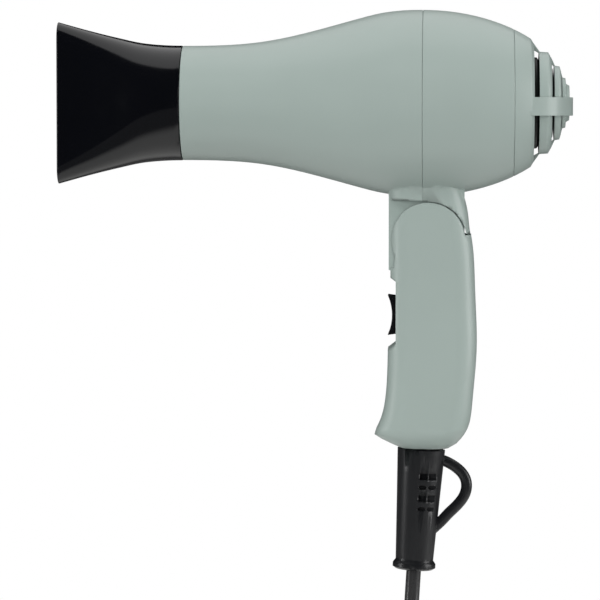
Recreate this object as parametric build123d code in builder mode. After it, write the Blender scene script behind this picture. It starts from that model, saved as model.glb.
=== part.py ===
"""Travel hair dryer with a folding handle, as separate pieces, in millimetres.

Frame: +Z up, the nozzle blows towards -X, the width is along Y. The origin is the middle of the grip.
The barrel turns on the fold axis, which runs along Y through the top of the handle.
"""
import math
import os

from build123d import *

os.makedirs("parts", exist_ok=True)

# ---- fold axis and barrel, the driving sizes
PIVOT_X = -2.0            # fold axis, ahead of the grip's middle
PIVOT_Z = 45.0            # fold axis, above the grip's middle
BARREL_RISE = 56.8        # barrel axis above the fold axis
NOSE_REACH = 102.6        # fold axis forward to the barrel's front edge
WAIST_BACK = 3.1          # fold axis forward to the barrel's widest ring
CAP_REACH = 35.5          # fold axis back to the cap's parting line
RIM_REACH = 42.6          # fold axis back to the end of the cap's dome
SPLIT_BACK = 2.3          # fold axis forward to the housings' parting line
NOSE_R = 23.9             # barrel radius at the front edge
WAIST_R = 38.8            # barrel radius at its widest
DOME_LENGTH = 63.0        # half length of the ellipse that rounds the back
WALL = 2.2                # moulded walls of barrel and handle

# ---- neck, hinge and handle
BODY_WIDTH = 33.0         # neck and handle, across Y
NECK_FRONT = 16.4         # fold axis forward to the neck's front face
NECK_REAR = 17.6          # fold axis back to the neck's rear face, at the hinge
EAR_R = 15.45             # round top of the handle's ears
EAR_FRONT = 14.0          # fold axis forward to the ears' front edge
EAR_THICK = 5.4           # each ear, across Y
EAR_STEP = 11.5           # fold axis down to where the full handle starts, in front
REAR_STEP = 2.5           # fold axis up to where the full handle starts, behind
TONGUE_R = 15.1           # round end of the neck's tongue
TONGUE_TIP = 12.6         # fold axis down to the end of the tongue's front strip
FRONT_CUT = 17.4          # fold axis down to the handle's front wall between the ears
HINGE_R = 5.0             # stub that the barrel turns on
HANDLE_DROP = 87.6        # fold axis down to the handle's underside
CORNER_R = 9.0            # rounding of neck and handle, seen from above

# ---- clearances
RUN_GAP = 0.05            # shaft in bore, radial
SIDE_GAP = 0.5            # between parts that swing past each other
SEAM = 0.06               # between fixed pieces that meet

AXIS_Z = PIVOT_Z + BARREL_RISE
NOSE_X = PIVOT_X - NOSE_REACH
WAIST_X = PIVOT_X - WAIST_BACK
SPLIT_X = PIVOT_X - SPLIT_BACK
CAP_X = PIVOT_X + CAP_REACH
RIM_X = PIVOT_X + RIM_REACH
HALF_WIDTH = BODY_WIDTH / 2
TONGUE_HALF = HALF_WIDTH - EAR_THICK - SIDE_GAP

SIDE = Plane(origin=(PIVOT_X, 0, PIVOT_Z), x_dir=(1, 0, 0), z_dir=(0, -1, 0))
BARREL_SIDE = Plane(origin=(0, 0, AXIS_Z), x_dir=(1, 0, 0), z_dir=(0, -1, 0))
BARREL_AXIS = Axis((0, 0, AXIS_Z), (1, 0, 0))


def across_plane(x, z):
    """Plane across the object at x and z: its own x runs along Y, its y along Z and its normal along +X."""
    return Plane(origin=(x, 0, z), x_dir=(0, 1, 0), z_dir=(1, 0, 0))


def barrel_plane(x):
    """Plane across the barrel, centred on its axis."""
    return across_plane(x, AXIS_Z)


def dome_radius(x):
    """Outer radius of the barrel behind its widest ring."""
    return WAIST_R * math.sqrt(1 - ((x - WAIST_X) / DOME_LENGTH) ** 2)


def flare_radius(share, rise):
    """Point on the flare: share of the way from the front edge to the waist, and of the rise in radius."""
    x = NOSE_X + share * (WAIST_X - NOSE_X)
    return x, NOSE_R + rise * (WAIST_R - NOSE_R)


FLARE = [flare_radius(0.34, 0.12), flare_radius(0.54, 0.40), flare_radius(0.75, 0.78)]


def barrel_solid(inset, back):
    """Solid of revolution of the barrel, inset from the outer skin, from the front edge to back."""
    with BuildPart() as body:
        with BuildSketch(BARREL_SIDE) as half:
            with BuildLine():
                front = [(NOSE_X, NOSE_R - inset)] + [(x, r - inset) for x, r in FLARE]
                flare = Spline(*front, (WAIST_X, WAIST_R - inset), tangents=((1, 0), (1, 0)))
                middle = WAIST_X + (back - WAIST_X) * 0.6
                dome = Spline(
                    flare @ 1, (middle, dome_radius(middle) - inset), (back, dome_radius(back) - inset),
                    tangents=((1, 0), (1, -(back - WAIST_X) / DOME_LENGTH ** 2 * WAIST_R ** 2 / dome_radius(back))),
                )
                Polyline(dome @ 1, (back, 0), (NOSE_X, 0), flare @ 0)
            make_face()
        revolve(axis=BARREL_AXIS)
    return body.part


def section(height, front, rear, half, inset=0.0, corner=CORNER_R):
    """Rounded plan section of neck or handle; height, front and rear are taken from the fold axis."""
    plane = Plane(origin=(PIVOT_X + (rear - front) / 2, 0, PIVOT_Z + height))
    with BuildSketch(plane) as plan:
        RectangleRounded(front + rear - 2 * inset, 2 * (half - inset), corner - inset * 0.8)
    return plan.sketch


def neck_solid(inset, bottom):
    """Neck from the barrel down to the hinge, inset from its outer skin."""
    levels = [
        (bottom, NECK_FRONT, NECK_REAR),
        (bottom + 8, NECK_FRONT, NECK_REAR - 1.0),
        (bottom + 15, NECK_FRONT, NECK_REAR - 2.6),
        (BARREL_RISE - WAIST_R + 2, NECK_FRONT + 0.3, NECK_REAR - 3.4),
        (BARREL_RISE - WAIST_R + 12, NECK_FRONT + 1.6, NECK_REAR - 3.2),
    ]
    with BuildPart() as neck:
        for height, front, rear in levels:
            add(section(height, front, rear, HALF_WIDTH, inset))
        loft()
    return neck.part


def tongue_solid(inset, half):
    """Tongue of the neck: a round end about the fold axis, and the strip that closes the front."""
    with BuildPart() as tongue:
        with BuildSketch(SIDE):
            Circle(TONGUE_R - inset)
            with BuildLine():
                Polyline(
                    (-NECK_FRONT + inset, NECK_FRONT + WALL + 6), (-NECK_FRONT + inset, -TONGUE_TIP + inset),
                    (-NECK_FRONT + 3.0, -TONGUE_TIP - 1.0 + inset), (0, -TONGUE_R + inset),
                    (TONGUE_R - inset, 0), (TONGUE_R - inset, NECK_FRONT + WALL + 6), close=True,
                )
            make_face()
        extrude(amount=half, both=True)
    return tongue.part


# ---- housings: one moulding of barrel, neck and tongue, parted across the barrel
SPIGOT_LENGTH = 9.0       # collar that the nozzle pushes over
SPIGOT_R = 21.3           # outside of the collar
SPIGOT_WALL = 1.8

with BuildPart() as neck_outer:
    add(neck_solid(0, REAR_STEP))
    with BuildSketch(SIDE):
        Circle(EAR_R + SIDE_GAP)
        with Locations((-NECK_FRONT - 4, 0)):
            Rectangle(NECK_FRONT + 4, NECK_FRONT, align=(Align.MIN, Align.MIN))
    extrude(amount=BODY_WIDTH, both=True, mode=Mode.SUBTRACT)

with BuildPart() as casing:
    add(barrel_solid(0, RIM_X))
    add(neck_outer.part)
    add(tongue_solid(0, TONGUE_HALF))
    # the collar for the nozzle
    with BuildSketch(barrel_plane(NOSE_X)):
        Circle(SPIGOT_R)
    extrude(amount=-SPIGOT_LENGTH)
    # hollow barrel, neck and tongue
    add(barrel_solid(WALL, RIM_X), mode=Mode.SUBTRACT)
    with BuildSketch(barrel_plane(NOSE_X - SPIGOT_LENGTH)):
        Circle(SPIGOT_R - SPIGOT_WALL)
    extrude(amount=SPIGOT_LENGTH + WALL, mode=Mode.SUBTRACT)
    # ring that carries the collar, inside the barrel's front edge
    with BuildSketch(barrel_plane(NOSE_X)):
        Circle(NOSE_R - WALL / 2)
        Circle(SPIGOT_R - SPIGOT_WALL, mode=Mode.SUBTRACT)
    extrude(amount=WALL)
    with BuildSketch(SIDE):
        with Locations((-NECK_FRONT + WALL, NECK_FRONT + WALL)):
            Rectangle(NECK_FRONT + EAR_R - 2 * WALL - 2, BARREL_RISE - WAIST_R, align=(Align.MIN, Align.MIN))
    extrude(amount=HALF_WIDTH - WALL - 1.5, both=True, mode=Mode.SUBTRACT)
    add(tongue_solid(WALL, TONGUE_HALF - WALL), mode=Mode.SUBTRACT)
    # the way out for the leads, below the fold axis
    with BuildSketch(SIDE):
        with Locations((-6, -TONGUE_R)):
            Rectangle(16, 8)
    extrude(amount=TONGUE_HALF - WALL, both=True, mode=Mode.SUBTRACT)
    # bores for the handle's stubs
    with BuildSketch(SIDE):
        Circle(HINGE_R + RUN_GAP)
    extrude(amount=TONGUE_HALF, both=True, mode=Mode.SUBTRACT)
casing_solid = casing.part

with BuildPart() as front_housing:
    add(casing_solid)
    split(bisect_by=Plane(origin=(SPLIT_X - SEAM / 2, 0, 0), z_dir=(1, 0, 0)), keep=Keep.BOTTOM)
front_housing.part.label = "front_housing"
export_step(front_housing.part, "parts/front_housing.step")

with BuildPart() as rear_housing:
    add(casing_solid)
    split(bisect_by=Plane(origin=(SPLIT_X + SEAM / 2, 0, 0), z_dir=(1, 0, 0)), keep=Keep.TOP)
    split(bisect_by=Plane(origin=(CAP_X - SEAM / 2, 0, 0), z_dir=(1, 0, 0)), keep=Keep.BOTTOM)
rear_housing.part.label = "rear_housing"
export_step(rear_housing.part, "parts/rear_housing.step")


# ---- handle: two shells, parted along the middle, with the hinge's ears at their tops
RECESS_DEPTH = 3.0        # finger recess across the front face
RECESS_TOP = 15.3         # fold axis down to the recess's upper edge
RECESS_BOTTOM = 45.6      # fold axis down to the recess's lower edge
RECESS_LEAD = 2.1         # length of each end's slope
ROCKER_DROP = 31.7        # fold axis down to the rocker's middle
ROCKER_BACK = 9.6         # fold axis forward to the rocker's own axis
ROCKER_HALF = 8.4         # half length of the rocker
ROCKER_WIDTH = 11.0
ROCKER_GAP = 0.95         # opening above and below the rocker
CABLE_DROP_X = -2.7       # strain relief's axis at the handle's underside, from the fold axis
GLAND_R = 4.6             # neck of the strain relief, inside the handle's bottom wall
SCREW_HEAD_R = 2.8
SCREW_R = 1.3
SCREW_SPOTS = [(12.0, -31.0), (9.6, -69.0)]

# plan sections of the handle: drop below the fold axis, reach to front and rear, half width
HANDLE_PLANS = [
    (-18.0, 16.4, 17.4, 1.0), (-2.5, 16.4, 17.8, 1.0), (12.0, 16.4, 19.3, 1.0), (34.0, 16.6, 20.2, 1.0),
    (55.7, 17.0, 19.7, 1.0), (69.1, 18.2, 18.5, 0.99), (75.8, 19.9, 17.6, 0.97), (79.6, 21.6, 16.3, 0.95),
]
TOE_PLANS = [(79.6, 21.6, 16.3, 0.95), (81.6, 22.3, 15.2, 0.91), (83.4, 19.6, 13.9, 0.85), (85.6, 15.4, 12.0, 0.74)]
FOOT_PLAN = (HANDLE_DROP, 11.0, 8.6, 0.55)


def handle_solid(inset):
    """Handle without its openings, inset from its outer skin."""
    with BuildPart() as grip:
        for drop, front, rear, share in HANDLE_PLANS:
            add(section(-drop, front, rear, HALF_WIDTH * share, inset))
        loft()
    with BuildPart() as toe:
        lift = inset
        for drop, front, rear, share in TOE_PLANS:
            add(section(-drop + lift * (drop - TOE_PLANS[0][0]) / 8, front, rear, HALF_WIDTH * share, inset))
        drop, front, rear, share = FOOT_PLAN
        add(section(-drop + lift, front, rear, HALF_WIDTH * share, inset, 6.0))
        loft(ruled=True)
    with BuildPart() as both:
        add(grip.part)
        add(toe.part)
    return both.part


EAR_BASE = 16.6           # fold axis down to where the ears' plates end
EAR_INNER = TONGUE_HALF + SIDE_GAP
STUB_END = TONGUE_HALF - WALL
BOSS_R = 3.2

with BuildPart() as hollow:
    add(handle_solid(WALL))
    # the wall behind the finger recess stays, and so do the ears' plates
    with BuildSketch(SIDE):
        with Locations((-NECK_FRONT + RECESS_DEPTH + WALL, -RECESS_TOP)):
            Rectangle(12, RECESS_BOTTOM - RECESS_TOP + WALL, align=(Align.MAX, Align.MAX))
    extrude(amount=BODY_WIDTH, both=True, mode=Mode.SUBTRACT)
    for side in (-1, 1):
        with BuildSketch(SIDE.offset(-side * EAR_INNER)):
            with Locations((0, -EAR_BASE)):
                Rectangle(80, 80, align=(Align.CENTER, Align.MIN))
        extrude(amount=-side * EAR_THICK * 2, mode=Mode.SUBTRACT)

with BuildPart() as grip_body:
    add(handle_solid(0))
    add(hollow.part, mode=Mode.SUBTRACT)
    # finger recess, with a slope at each end
    with BuildSketch(SIDE):
        with BuildLine():
            Polyline(
                (-NECK_FRONT - 8, -RECESS_TOP), (-NECK_FRONT, -RECESS_TOP),
                (-NECK_FRONT + RECESS_DEPTH, -RECESS_TOP - RECESS_LEAD),
                (-NECK_FRONT + RECESS_DEPTH, -RECESS_BOTTOM + RECESS_LEAD),
                (-NECK_FRONT, -RECESS_BOTTOM), (-NECK_FRONT - 8, -RECESS_BOTTOM), close=True,
            )
        make_face()
    extrude(amount=BODY_WIDTH, both=True, mode=Mode.SUBTRACT)
    # front wall between the ears
    with BuildSketch(SIDE):
        with Locations((-NECK_FRONT - 4, -FRONT_CUT)):
            Rectangle(NECK_FRONT + 4, FRONT_CUT + EAR_R * 2, align=(Align.MIN, Align.MIN))
    extrude(amount=EAR_INNER, both=True, mode=Mode.SUBTRACT)
    # room for the tongue's round end
    with BuildSketch(SIDE):
        Circle(TONGUE_R + SIDE_GAP)
    extrude(amount=EAR_INNER, both=True, mode=Mode.SUBTRACT)
    # rocker's opening
    with BuildSketch(across_plane(PIVOT_X - NECK_FRONT, PIVOT_Z - ROCKER_DROP)):
        Rectangle(ROCKER_WIDTH + 2 * SIDE_GAP, 2 * (ROCKER_HALF + ROCKER_GAP))
    extrude(amount=RECESS_DEPTH + 2 * WALL, mode=Mode.SUBTRACT)
    # hole for the neck of the strain relief
    with BuildSketch(Plane(origin=(PIVOT_X + CABLE_DROP_X, 0, PIVOT_Z - HANDLE_DROP))):
        Circle(GLAND_R + SEAM)
    extrude(amount=2 * WALL, mode=Mode.SUBTRACT)

with BuildPart() as ear_profile:
    with BuildSketch(SIDE):
        Circle(EAR_R)
        with Locations((-EAR_FRONT, -EAR_STEP)):
            Rectangle(EAR_FRONT, EAR_STEP, align=(Align.MIN, Align.MIN))
        with Locations((0, -EAR_STEP)):
            Rectangle(NECK_REAR + 8, EAR_STEP + REAR_STEP - SIDE_GAP, align=(Align.MIN, Align.MIN))
        with Locations((0, -EAR_STEP)):
            Rectangle(90, HANDLE_DROP + 10, align=(Align.CENTER, Align.MAX))
    extrude(amount=BODY_WIDTH, both=True)


def screw_bosses(radius):
    """Round posts across the handle, on the screws' axes."""
    with BuildPart() as posts:
        with BuildSketch(SIDE):
            with Locations(*SCREW_SPOTS):
                Circle(radius)
        extrude(amount=HALF_WIDTH - WALL + 0.55, both=True)
    return posts.part


with BuildPart() as handle:
    add(grip_body.part)
    add(ear_profile.part, mode=Mode.INTERSECT)
    add(screw_bosses(BOSS_R))
    # stubs that the barrel turns on
    for side in (-1, 1):
        with BuildSketch(SIDE.offset(-side * STUB_END)):
            Circle(HINGE_R)
        extrude(amount=-side * (EAR_INNER - STUB_END + 1))
    add(screw_bosses(SCREW_R + RUN_GAP), mode=Mode.SUBTRACT)
    # sunk seats for the screws' heads, on the right
    with BuildSketch(SIDE.offset(-HALF_WIDTH)):
        with Locations(*SCREW_SPOTS):
            Circle(SCREW_HEAD_R + RUN_GAP)
    extrude(amount=HALF_WIDTH * 0.4, mode=Mode.SUBTRACT)
handle_whole = handle.part

with BuildPart() as handle_left:
    add(handle_whole)
    split(bisect_by=Plane.XZ.offset(SEAM / 2), keep=Keep.TOP)
handle_left.part.label = "handle_left"
export_step(handle_left.part, "parts/handle_left.step")

with BuildPart() as handle_right:
    add(handle_whole)
    split(bisect_by=Plane.XZ.offset(-SEAM / 2), keep=Keep.BOTTOM)
handle_right.part.label = "handle_right"
export_step(handle_right.part, "parts/handle_right.step")

with BuildPart() as handle_screws:
    with BuildSketch(SIDE.offset(-HALF_WIDTH * 0.6 - SEAM)):
        with Locations(*SCREW_SPOTS):
            Circle(SCREW_HEAD_R)
    extrude(amount=-SCREW_HEAD_R * 0.7)
    with BuildSketch(SIDE.offset(-HALF_WIDTH * 0.6 - SEAM)):
        with Locations(*SCREW_SPOTS):
            Circle(SCREW_R)
    extrude(amount=HALF_WIDTH * 1.1)
    # cross slot in each head
    with BuildSketch(SIDE.offset(-HALF_WIDTH * 0.6 - SCREW_HEAD_R * 0.7)):
        with Locations(*SCREW_SPOTS):
            Rectangle(3.2, 0.7)
            Rectangle(0.7, 3.2)
    extrude(amount=1.2, mode=Mode.SUBTRACT)
handle_screws.part.label = "handle_screws"
export_step(handle_screws.part, "parts/handle_screws.step")

# ---- hinge: two nylon washers and the spring that clicks into the tongue
with BuildPart() as hinge_washers:
    for side in (-1, 1):
        with BuildSketch(SIDE.offset(-side * (TONGUE_HALF + RUN_GAP))):
            Circle(HINGE_R + 3.5)
            Circle(HINGE_R + RUN_GAP, mode=Mode.SUBTRACT)
        extrude(amount=-side * (SIDE_GAP - RUN_GAP))
hinge_washers.part.label = "hinge_washers"
export_step(hinge_washers.part, "parts/hinge_washers.step")

SPRING_THICK = 0.5
SPRING_WIDTH = 8.0
SPRING_DROP = 24.0        # fold axis down to the spring's foot
with BuildPart() as detent_spring:
    with BuildSketch(SIDE):
        with BuildLine() as leaf:
            FilletPolyline((14.6, -SPRING_DROP), (14.6, -14.0), (11.2, -12.0), (13.8, -9.0), radius=1.0)
        trace(leaf.line, line_width=SPRING_THICK)
    extrude(amount=SPRING_WIDTH / 2, both=True)
detent_spring.part.label = "detent_spring"
export_step(detent_spring.part, "parts/detent_spring.step")

# ---- rocker switch
POCKET_DEPTH = 5.6
CASE_TOP = 9.4            # half length of the switch's case
CASE_BACK = 1.5           # fold axis back to the case's rear
CASE_WALL = 1.2
FLOOR_BACK = -NECK_FRONT + RECESS_DEPTH + WALL
ROCKER_PIN_R = 1.2
with BuildPart() as rocker:
    with BuildSketch(SIDE):
        with BuildLine():
            top = (-NECK_FRONT - 0.5, -ROCKER_DROP + ROCKER_HALF)
            low = (-NECK_FRONT - 0.5, -ROCKER_DROP - ROCKER_HALF)
            ThreePointArc(top, (-NECK_FRONT + 1.3, -ROCKER_DROP), low)
            Polyline(
                low, (-NECK_FRONT + RECESS_DEPTH, -ROCKER_DROP - ROCKER_HALF + 0.5),
                (-ROCKER_BACK + 2.0, -ROCKER_DROP - ROCKER_HALF + 2.4),
                (-ROCKER_BACK + 2.0, -ROCKER_DROP + ROCKER_HALF - 2.4),
                (-NECK_FRONT + RECESS_DEPTH, -ROCKER_DROP + ROCKER_HALF - 0.5), top,
            )
        make_face()
    extrude(amount=ROCKER_WIDTH / 2, both=True)
    with BuildSketch(SIDE):
        with Locations((-ROCKER_BACK, -ROCKER_DROP)):
            Circle(ROCKER_PIN_R)
    extrude(amount=ROCKER_WIDTH / 2 + CASE_WALL, both=True)
rocker.part.label = "rocker"
export_step(rocker.part, "parts/rocker.step")

with BuildPart() as switch_case:
    with BuildSketch(SIDE):
        with Locations((FLOOR_BACK + SEAM, -ROCKER_DROP)):
            Rectangle(CASE_BACK - FLOOR_BACK, 2 * CASE_TOP, align=(Align.MIN, Align.CENTER))
    extrude(amount=ROCKER_WIDTH / 2 + SIDE_GAP + CASE_WALL, both=True)
    # pocket for the rocker, open to the front
    with BuildSketch(SIDE):
        with Locations((FLOOR_BACK, -ROCKER_DROP)):
            Rectangle(POCKET_DEPTH, 2 * (CASE_TOP - CASE_WALL), align=(Align.MIN, Align.CENTER))
    extrude(amount=ROCKER_WIDTH / 2 + SIDE_GAP, both=True, mode=Mode.SUBTRACT)
    with BuildSketch(SIDE):
        with Locations((-ROCKER_BACK, -ROCKER_DROP)):
            Circle(ROCKER_PIN_R + RUN_GAP)
    extrude(amount=ROCKER_WIDTH, both=True, mode=Mode.SUBTRACT)
switch_case.part.label = "switch_case"
export_step(switch_case.part, "parts/switch_case.step")

TERMINAL_SPOTS = [-6.0, 0.0, 6.0]
TERMINAL_LENGTH = 3.6
with BuildPart() as switch_terminals:
    with BuildSketch(across_plane(PIVOT_X + CASE_BACK + 2 * SEAM, PIVOT_Z - ROCKER_DROP)):
        with Locations(*[(0, spot) for spot in TERMINAL_SPOTS]):
            Rectangle(4.8, 0.8)
    extrude(amount=TERMINAL_LENGTH)
switch_terminals.part.label = "switch_terminals"
export_step(switch_terminals.part, "parts/switch_terminals.step")

# ---- cord entry: clamp, strain relief with its hanging loop
CORD_D = 6.2
RELIEF_TOP_R = 10.0       # strain relief where it meets the handle
RELIEF_MID_R = 9.1
RELIEF_END_R = 7.9        # above the end flange
RELIEF_LENGTH = 48.0
FLANGE_R = 9.0
FLANGE_THICK = 3.4
RELIEF_LEAN = 3.5         # degrees, towards the front
LOOP_SPOTS = [(6.0, -4.6), (13.4, -6.6), (19.2, -12.0), (19.4, -18.6), (13.4, -26.8), (6.0, -35.0)]
LOOP_R = 2.3              # bar of the hanging loop
RELIEF = Plane(
    origin=(PIVOT_X + CABLE_DROP_X, 0, PIVOT_Z - HANDLE_DROP),
    x_dir=(math.cos(math.radians(RELIEF_LEAN)), 0, -math.sin(math.radians(RELIEF_LEAN))),
    z_dir=(math.sin(math.radians(RELIEF_LEAN)), 0, math.cos(math.radians(RELIEF_LEAN))),
)
RELIEF_SIDE = Plane(origin=RELIEF.origin, x_dir=RELIEF.x_dir, z_dir=(0, -1, 0))
with BuildPart() as strain_relief:
    with BuildSketch(RELIEF_SIDE):
        with BuildLine():
            flank = Spline(
                (RELIEF_TOP_R, -SEAM - 0.6), (RELIEF_MID_R, -RELIEF_LENGTH * 0.42), (RELIEF_END_R, -RELIEF_LENGTH),
            )
            Polyline(flank @ 1, (0, -RELIEF_LENGTH), (0, -SEAM - 0.6), flank @ 0)
        make_face()
        with BuildLine():
            Polyline(
                (0, -RELIEF_LENGTH + 0.5), (RELIEF_END_R, -RELIEF_LENGTH + 0.5), (FLANGE_R, -RELIEF_LENGTH - 1.0),
                (FLANGE_R, -RELIEF_LENGTH - FLANGE_THICK + 0.8), (FLANGE_R - 1.2, -RELIEF_LENGTH - FLANGE_THICK),
                (0, -RELIEF_LENGTH - FLANGE_THICK), close=True,
            )
        make_face()
    revolve(axis=Axis(RELIEF.origin, RELIEF.z_dir))
    # neck through the handle's wall, and the head inside that holds it
    with BuildSketch(Plane(origin=RELIEF.origin).offset(-2)):
        Circle(GLAND_R)
    extrude(amount=WALL + 2.3)
    with BuildSketch(Plane(origin=RELIEF.origin).offset(WALL + 0.3)):
        Circle(GLAND_R + 2.4)
    extrude(amount=3.0)
    # hanging loop on the rear side
    with BuildLine():
        bar = Spline(
            *[RELIEF_SIDE.from_local_coords(spot) for spot in LOOP_SPOTS],
            tangents=(RELIEF_SIDE.x_dir, -RELIEF_SIDE.x_dir * 0.72 - RELIEF_SIDE.y_dir * 0.7),
        )
    with BuildSketch(Plane(origin=bar @ 0, z_dir=bar % 0)):
        Circle(LOOP_R)
    sweep(path=bar)
    # flex grooves on both flanks of the rear side
    for side in (-1, 1):
        for row in range(4):
            with BuildSketch(RELIEF_SIDE.offset(side * (RELIEF_TOP_R + 1))):
                with Locations((1.6, -11.5 - 4.6 * row), (5.4, -11.5 - 4.6 * row)):
                    SlotOverall(3.2, 1.7) if row % 2 else Rectangle(3.0, 2.6)
            extrude(amount=-side * 5.2, mode=Mode.SUBTRACT)
    # way through for the cord
    with BuildSketch(RELIEF):
        Circle(CORD_D / 2)
    extrude(amount=RELIEF_LENGTH + 10, both=True, mode=Mode.SUBTRACT)
strain_relief.part.label = "strain_relief"
export_step(strain_relief.part, "parts/strain_relief.step")

# ---- mains cord: down to the surface, a neat coil there, and the plug beside it
SURFACE_Z = -155.0
TIE_THICK = 1.0
COIL_X = 28.0
COIL_Y = -62.0
COIL_R = 37.0             # middle of the turns
COIL_TURNS_WIDE = 3
COIL_LIFT = 5.9           # one layer of turns above the next
TAIL_Y = -19.5
TAIL_END_X = -40.0
PLUG_WIDTH = 35.0
PLUG_HEIGHT = 26.0
PLUG_AXIS_Z = SURFACE_Z + PLUG_HEIGHT / 2
RELIEF_EXIT = RELIEF.from_local_coords((0, 0, -RELIEF_LENGTH - FLANGE_THICK))

CORD_POINTS = [
    (RELIEF_EXIT.X, 0, RELIEF_EXIT.Z), (-8.95, 0, -112.0), (-9.8, -8.6, -128.6), (-10.0, -24.4, -139.0),
    (-9.4, -43.0, -140.4),
]
TAIL_POINTS = [(13.0, -18.8, -150.9), (-2.0, -18.0, -151.9), (-25.0, TAIL_Y, PLUG_AXIS_Z), (TAIL_END_X, TAIL_Y, PLUG_AXIS_Z)]


def cord_path(points):
    """Straight runs joined by tangent arcs, each as large as its two runs allow; also returns the radii."""
    spots = [Vector(*p) for p in points]
    radii = []
    for before, corner, after in zip(spots, spots[1:], spots[2:]):
        turn = math.radians((corner - before).get_angle(after - corner))
        shorter = min((corner - before).length, (after - corner).length)
        radii.append(0.45 * shorter / math.tan(turn / 2))
    return FilletPolyline(*spots, radius=radii), radii


def cord_tube(points):
    """Round cord along its path, checked by its volume."""
    with BuildPart() as tube:
        with BuildLine():
            path, radii = cord_path(points)
        with BuildSketch(Plane(origin=path @ 0, z_dir=path % 0)):
            Circle(CORD_D / 2)
        sweep(path=path)
    expected = math.pi * (CORD_D / 2) ** 2 * path.length
    print("cord radii", [round(r, 1) for r in radii], "length", round(path.length, 1),
          "volume ratio", round(tube.part.volume / expected, 4))
    return tube.part


cord_lead = cord_tube(CORD_POINTS)
cord_lead.label = "cord_lead"
export_step(cord_lead, "parts/cord_lead.step")

cord_tail = cord_tube(TAIL_POINTS)
cord_tail.label = "cord_tail"
export_step(cord_tail, "parts/cord_tail.step")

COIL_HALF = COIL_TURNS_WIDE * CORD_D / 2
COIL_SIDE = Plane(origin=(COIL_X, COIL_Y, SURFACE_Z + TIE_THICK), x_dir=(1, 0, 0), z_dir=(0, -1, 0))
COIL_AXIS = Axis((COIL_X, COIL_Y, 0), (0, 0, 1))
LOW_LAYERS = CORD_D + COIL_LIFT - 1.2
TOP_LAYER = CORD_D + 2 * COIL_LIFT


def coil_section(grow):
    """Outline of the wound turns in section, grown by the tie's thickness where the tie needs it."""
    with BuildSketch(COIL_SIDE) as turns:
        with BuildLine():
            Polyline(
                (COIL_R - COIL_HALF - grow, -grow), (COIL_R + COIL_HALF + grow, -grow),
                (COIL_R + COIL_HALF + grow, LOW_LAYERS + grow / 2), (COIL_R + CORD_D / 2 + grow, TOP_LAYER + grow),
                (COIL_R - CORD_D / 2 - grow, TOP_LAYER + grow), (COIL_R - COIL_HALF - grow, LOW_LAYERS + grow / 2),
                close=True,
            )
        make_face()
    return turns.sketch


with BuildPart() as cord_coil:
    revolve(coil_section(0), axis=COIL_AXIS)
cord_coil.part.label = "cord_coil"
export_step(cord_coil.part, "parts/cord_coil.step")

with BuildPart() as cord_tie:
    revolve(coil_section(TIE_THICK), axis=COIL_AXIS, revolution_arc=18)
    add(revolve(coil_section(SEAM), axis=COIL_AXIS, mode=Mode.PRIVATE), mode=Mode.SUBTRACT)
cord_tie.part.label = "cord_tie"
export_step(cord_tie.part, "parts/cord_tie.step")

# plug body: flat grip that narrows to a sleeve round the cord
PIN_R = 2.4
PIN_LENGTH = 19.0
PIN_SPACING = 19.0
PIN_ROOT = 7.0            # length held in the plug
PIN_ROOT_R = 1.9
PLUG_STATIONS = [(0.0, 9.4, 9.4, 4.6), (13.0, 15.0, 13.0, 6.0), (22.0, 29.0, 21.0, 9.0), (28.0, 34.0, 25.6, 10.0),
                 (38.0, PLUG_WIDTH, PLUG_HEIGHT, 10.0)]
PLUG_LENGTH = PLUG_STATIONS[-1][0]
with BuildPart() as plug_body:
    for station, width, height, corner in PLUG_STATIONS:
        with BuildSketch(Plane(origin=(TAIL_END_X - station, TAIL_Y, PLUG_AXIS_Z), x_dir=(0, 1, 0), z_dir=(1, 0, 0))):
            RectangleRounded(width, height, corner)
    loft(ruled=True)
    with BuildSketch(Plane(origin=(TAIL_END_X - PLUG_LENGTH, TAIL_Y, PLUG_AXIS_Z), x_dir=(0, 1, 0), z_dir=(1, 0, 0))):
        with Locations((-PIN_SPACING / 2, 0), (PIN_SPACING / 2, 0)):
            Circle(PIN_ROOT_R + SEAM)
    extrude(amount=PIN_ROOT, mode=Mode.SUBTRACT)
plug_body.part.label = "plug_body"
export_step(plug_body.part, "parts/plug_body.step")

PLUG_FACE_X = TAIL_END_X - PLUG_LENGTH
with BuildPart() as plug_pins:
    for start_x, radius, length in ((PLUG_FACE_X + PIN_ROOT - SEAM, PIN_ROOT_R, PIN_ROOT), (PLUG_FACE_X - SEAM, PIN_R, PIN_LENGTH)):
        with BuildSketch(Plane(origin=(start_x, TAIL_Y, PLUG_AXIS_Z), x_dir=(0, 1, 0), z_dir=(-1, 0, 0))):
            with Locations((-PIN_SPACING / 2, 0), (PIN_SPACING / 2, 0)):
                Circle(radius)
        extrude(amount=length)
    chamfer(plug_pins.faces().sort_by(Axis.X)[:2].edges(), length=0.8)
plug_pins.part.label = "plug_pins"
export_step(plug_pins.part, "parts/plug_pins.step")

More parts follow.
